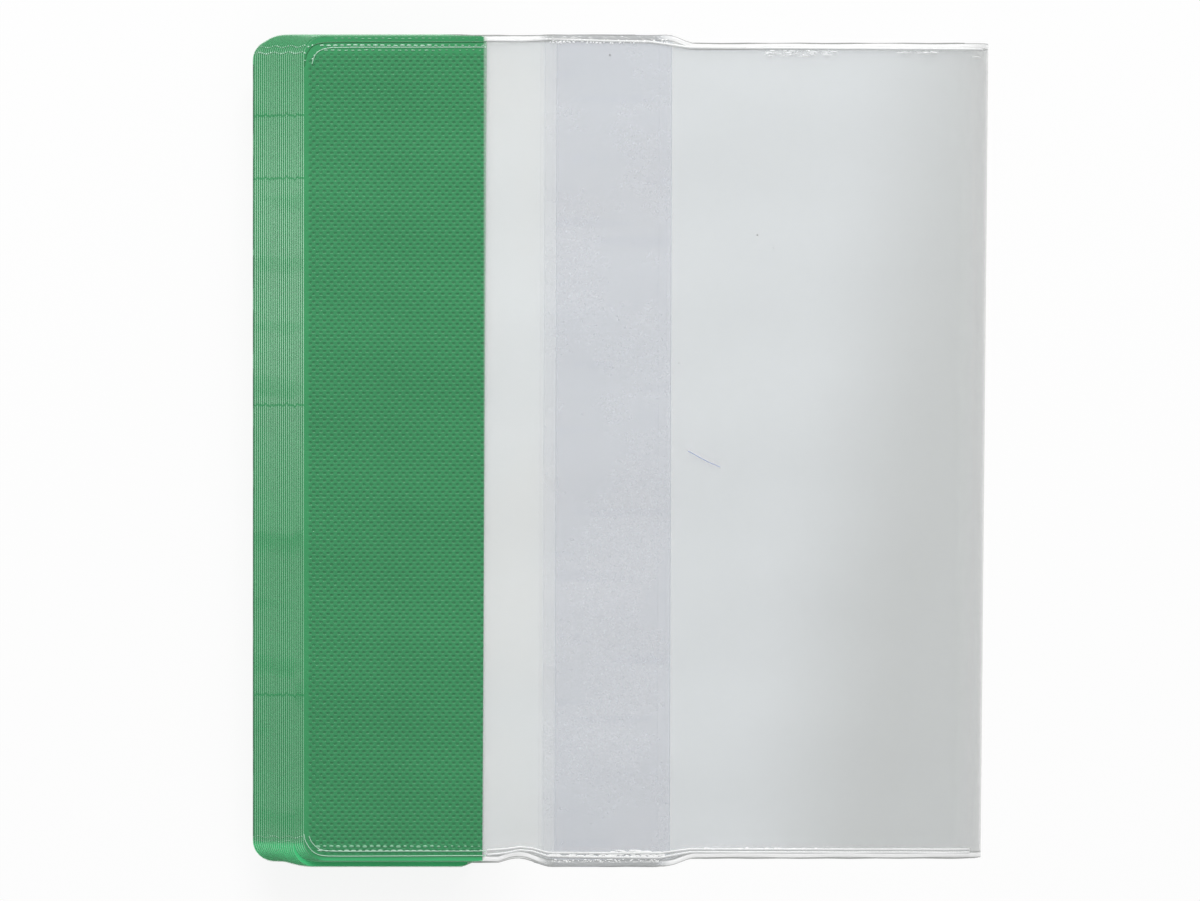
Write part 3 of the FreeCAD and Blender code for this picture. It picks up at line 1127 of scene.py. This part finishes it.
def ridge(name, cover, run, y, half_width, rise, material):
    """A raised line along given points: a parabola across the line, swept along it."""
    step = np.stack([np.gradient(run), np.gradient(y)], axis=-1)
    step /= np.linalg.norm(step, axis=-1, keepdims=True)
    side = np.linspace(-1, 1, 5)
    runs = run[:, None] - half_width * side * step[:, 1:]
    heights = y[:, None] + half_width * side * step[:, :1]
    outer = on_cover(cover, runs, heights, -rise * (1 - side**2), 1)
    inner = on_cover(cover, runs, heights, SUNK, 1)
    piece = shell(name, outer, inner, runs, heights, np.zeros(runs.shape), material, 1)
    go_with_film(piece, cover, runs)
    return piece


# white for the welds, and for the painted glints and highlights
weld_and_glint_white = plain_material("weld_and_glint_white", (0.93, 0.94, 0.94))
weld_grey = plain_material("weld_grey", (0.52, 0.53, 0.53))
weld_green = plain_material("weld_green", (0.38, 0.63, 0.47))
weld_faint = plain_material("weld_faint", (0.21, 0.49, 0.30))
seam_dark = plain_material("seam_dark", (0.03, 0.19, 0.07))
print(f"one pillow has {sum(len(part) for part in pillow_faces(1))} faces")

# %% [markdown]
# The pocket's weld runs along both long edges and turns the outer corners. Along each edge one row
# of dashes is strong and the others are fainter, and all are weaker near the mouth. Thin lines run
# beside the dashes, and a few dots fill the upper corner. The tables are in pixels of the picture.

# %% Pocket welds
DASH_PITCH = 6.7
DASH_FADE, FADE_FROM, FADE_LENGTH = 0.4, 425, 25
DASH_STRENGTH = (0.75, 1.05)
DASH_WANDER = 0.3
DASH_RISE = 0.06 * MM
CORNER_DOT = 0.3 * MM, 0.26 * MM
SEAM_WIDTH, SEAM_RISE = 0.13 * MM, 0.07 * MM
dash_rows = {  # height in the picture, first and last place, half length, half width, material
    "upper_rim": (38.4, 336, 478, 2.0, 0.5, weld_faint),
    "upper": (45.3, 322, 484, 2.7, 0.9, weld_green),
    "upper_inner": (50.2, 326, 484, 2.1, 0.7, weld_faint),
    "lower": (850.6, 320, 484, 2.7, 0.9, weld_green),
    "lower_inner": (846.3, 318, 484, 2.4, 1.3, weld_faint),
}
corner_dots = ([305, 304.8, 308.5, 312.5, 312.5, 314.5, 317.5], [60.5, 53, 46.8, 45.4, 59, 55.5, 52.3])
corner_lines = {
    "upper": (
        [304.5, 305, 307, 311, 316, 324, 340, 486],
        [66, 60, 53, 47, 44, 42.6, 42.2, 41.8],
        seam_dark,
    ),
    "upper_inner": (
        [312, 313, 315, 319, 325, 333, 350, 486],
        [64, 60, 55, 51, 48.6, 47.6, 47.4, 47.2],
        weld_green,
    ),
    "lower": (
        [304, 305, 308, 313, 319, 326, 345, 486],
        [834, 840, 846, 852, 855, 856, 856.2, 855.6],
        weld_green,
    ),
    "lower_inner": (
        [309, 311, 314, 318, 324, 334, 350, 486],
        [836, 841, 845, 848.5, 850.6, 851.2, 851.3, 851],
        weld_green,
    ),
}

for title, (pixel_y, first, last, half_length, half_width, material) in dash_rows.items():
    pixel_x = np.arange(first, last, DASH_PITCH)
    strength = random.uniform(*DASH_STRENGTH, len(pixel_x))
    strength = strength * (1 - DASH_FADE * smooth((pixel_x - FADE_FROM) / FADE_LENGTH))
    run, y = spot(pixel_x, pixel_y + random.uniform(-DASH_WANDER, DASH_WANDER, len(pixel_x)))
    size = half_length * PIXEL * strength, half_width * PIXEL * strength
    pillows(f"pocket_welds_{title}", top_cover, run, y, *size, DASH_RISE, material)
pillows("pocket_welds_corner", top_cover, *spot(*corner_dots), *CORNER_DOT, DASH_RISE, weld_green)

for title, (pixel_x, pixel_y, material) in corner_lines.items():
    length = np.concatenate([[0], np.cumsum(np.hypot(np.diff(pixel_x), np.diff(pixel_y)))])
    along = np.linspace(0, length[-1], 70)
    run, y = spot(np.interp(along, length, pixel_x), np.interp(along, length, pixel_y))
    ridge(f"pocket_line_{title}", top_cover, run, y, SEAM_WIDTH, SEAM_RISE, material)
print(f"{len(dash_rows)} rows of dashes, {len(corner_lines)} lines")

# %% [markdown]
# On the covers underneath only the weld dots beside the fore-edge show. Each cover sticks out by the
# same step, so the dots make rows across the fan. Each stands inside its cover's rounded corner, and
# a slow sine makes the rows waver. A dark line marks the edge of the innermost cover.

# %% Dots and edge of the fan
DOT_PLACES = np.array([122.5, 120.6, -117.2, -118.5]) * MM
DOT_SIZES = np.array([0.2, 0.24, 0.16, 0.12]) * MM
DOT_SHARES = (0.5, 1.1)
DOT_EDGE = 0.3 * MM
DOT_RISE = 0.03 * MM
DOT_SWAY, DOT_TURN = 0.28 * MM, 0.9
DOT_SEED = 4
SHADE_REACH, SHADE_COUNT = 0.93, 40
SHADE_PLACE, SHADE_WIDTH, SHADE_RISE = 0.14 * MM, 0.12 * MM, 0.02 * MM

dot_random = np.random.default_rng(DOT_SEED)
for cover in covers[1:]:
    upper, lower = (edge[0] for edge in long_edges(cover, np.array([CORNER])))
    y = DOT_PLACES + DOT_SWAY * np.sin(DOT_TURN * cover.number)
    inset = np.minimum(upper - y, y - lower)
    run = DOT_EDGE + CORNER - np.sqrt(CORNER**2 - np.maximum(CORNER - inset, 0) ** 2)
    size = DOT_SIZES * dot_random.uniform(*DOT_SHARES, len(y))
    pillows(f"fan_welds_{cover.number:02d}", cover, run, y, size, size, DOT_RISE, weld_green)
edge_shade = plain_material("edge_shade", (0.13, 0.22, 0.16))
edge_y = np.linspace(-SHADE_REACH, SHADE_REACH, SHADE_COUNT) * last_cover.height / 2 + last_cover.middle
edge_run = np.full(SHADE_COUNT, SHADE_PLACE)
ridge("fan_edge_line", last_cover, edge_run, edge_y, SHADE_WIDTH, SHADE_RISE, edge_shade)
print(f"{len(DOT_PLACES)} dots on each of {len(covers) - 1} covers")

# %% [markdown]
# Past the pocket the welds lie on clear film, where they are white with a grey line beside them,
# and a white ridge beside each grey line is a painted glint. The strap's ends are welded with a
# finer, blotchy pattern, with a patch of larger white streaks on its lower weld as a painted
# highlight, and the film next to the upper hem has a few white streaks as painted glints.

# %% Strap and hem welds
LINE_WIDTH, LINE_RISE = 0.16 * MM, 0.05 * MM
GLINT_WIDTH, GLINT_RISE, GLINT_OFFSET = 0.18 * MM, 0.06 * MM, 0.36 * MM
BLOTCH_RISE, BLOTCH_TILT = 0.05 * MM, 0.08
LOWER_HEM_X = [487, 505, 520, 532, 548, 600, 660, 690, 975]
hem_lines = {
    "upper": ([487, 520, 550, 600, 650, 690, 985], [41, 41.5, 40, 41.5, 42.5, 48.4, 50]),
    "lower": (LOWER_HEM_X, [855.6, 854, 851, 852, 857, 858, 858.5, 853, 853.4]),
    "lower_inner": (LOWER_HEM_X, [851, 850, 848, 849, 853.5, 854, 854, 850, 850.5]),
}
blotches = {  # left, right, height in the picture, spread, count, half lengths, half widths
    "strap_lower": (548, 664, 855.5, 1.2, 60, (1.6, 3.4), (0.6, 1.1)),
    "strap_lower_end": (552, 660, 861, 1.8, 110, (0.5, 1.3), (0.35, 0.6)),
    # painted highlight: a patch of larger white streaks
    "strap_shine": (612, 657, 851.5, 0.9, 16, (3.0, 6.0), (0.6, 1.0)),
    "strap_upper": (550, 668, 40, 3.2, 170, (0.5, 1.6), (0.35, 0.6)),
    "hem_lower": (692, 832, 848.8, 0.7, 22, (1.2, 2.6), (0.35, 0.6)),
    # painted glints: white streaks next to the upper hem
    "glint_left": (765, 832, 53.2, 2.6, 38, (1.2, 4.0), (0.2, 0.38)),
    "glint_right": (896, 931, 53, 1.0, 10, (2.0, 5.0), (0.22, 0.42)),
    "glint_end": (971, 979, 57, 0.5, 3, (2.5, 4.0), (0.22, 0.32)),
}

for title, (pixel_x, pixel_y) in hem_lines.items():
    along = np.linspace(pixel_x[0], pixel_x[-1], 160)
    run, y = spot(along, np.interp(along, pixel_x, pixel_y))
    ridge(f"hem_line_{title}", top_cover, run, y, LINE_WIDTH, LINE_RISE, weld_grey)
    ridge(f"hem_glint_{title}", top_cover, run, y + GLINT_OFFSET, GLINT_WIDTH, GLINT_RISE, weld_and_glint_white)

for title, (left, right, pixel_y, spread, count, lengths, widths) in blotches.items():
    run, y = spot(random.uniform(left, right, count), pixel_y + spread * random.uniform(-1, 1, count))
    size = random.uniform(*lengths, count) * PIXEL, random.uniform(*widths, count) * PIXEL
    tilt = random.uniform(-BLOTCH_TILT, BLOTCH_TILT, count)
    pillows(f"weld_{title}", top_cover, run, y, *size, BLOTCH_RISE, weld_and_glint_white, tilt)
print(f"{len(hem_lines)} hem lines and {len(blotches)} groups of blotches")

# %% [markdown]
# A few grains of dust and one bluish scratch lie on the top film.

# %% Dust and scratch
DUST = ([757, 773, 972, 679, 823, 610], [235, 248, 235, 363, 396, 55])
DUST_SIZES = np.array([0.9, 0.7, 0.7, 0.6, 0.6, 0.8]) * PIXEL
DUST_ROUND, DUST_RISE = 0.8, 0.1 * MM
SCRATCH = ([688, 697, 708, 720], [451, 456, 462, 467])
SCRATCH_WIDTH, SCRATCH_RISE = 0.1 * MM, 0.02 * MM
dust = plain_material("dust", (0.16, 0.15, 0.14), 0.7)
ink = plain_material("blue_scratch", (0.34, 0.38, 0.60), 0.5)
pillows("dust_grains", top_cover, *spot(*DUST), DUST_SIZES, DUST_ROUND * DUST_SIZES, DUST_RISE, dust)
scratch_x = np.linspace(SCRATCH[0][0], SCRATCH[0][-1], 24)
scratch_run, scratch_y = spot(scratch_x, np.interp(scratch_x, *SCRATCH))
ridge("scratch", top_cover, scratch_run, scratch_y, SCRATCH_WIDTH, SCRATCH_RISE, ink)
print(f"{len(DUST[0])} grains and a scratch")
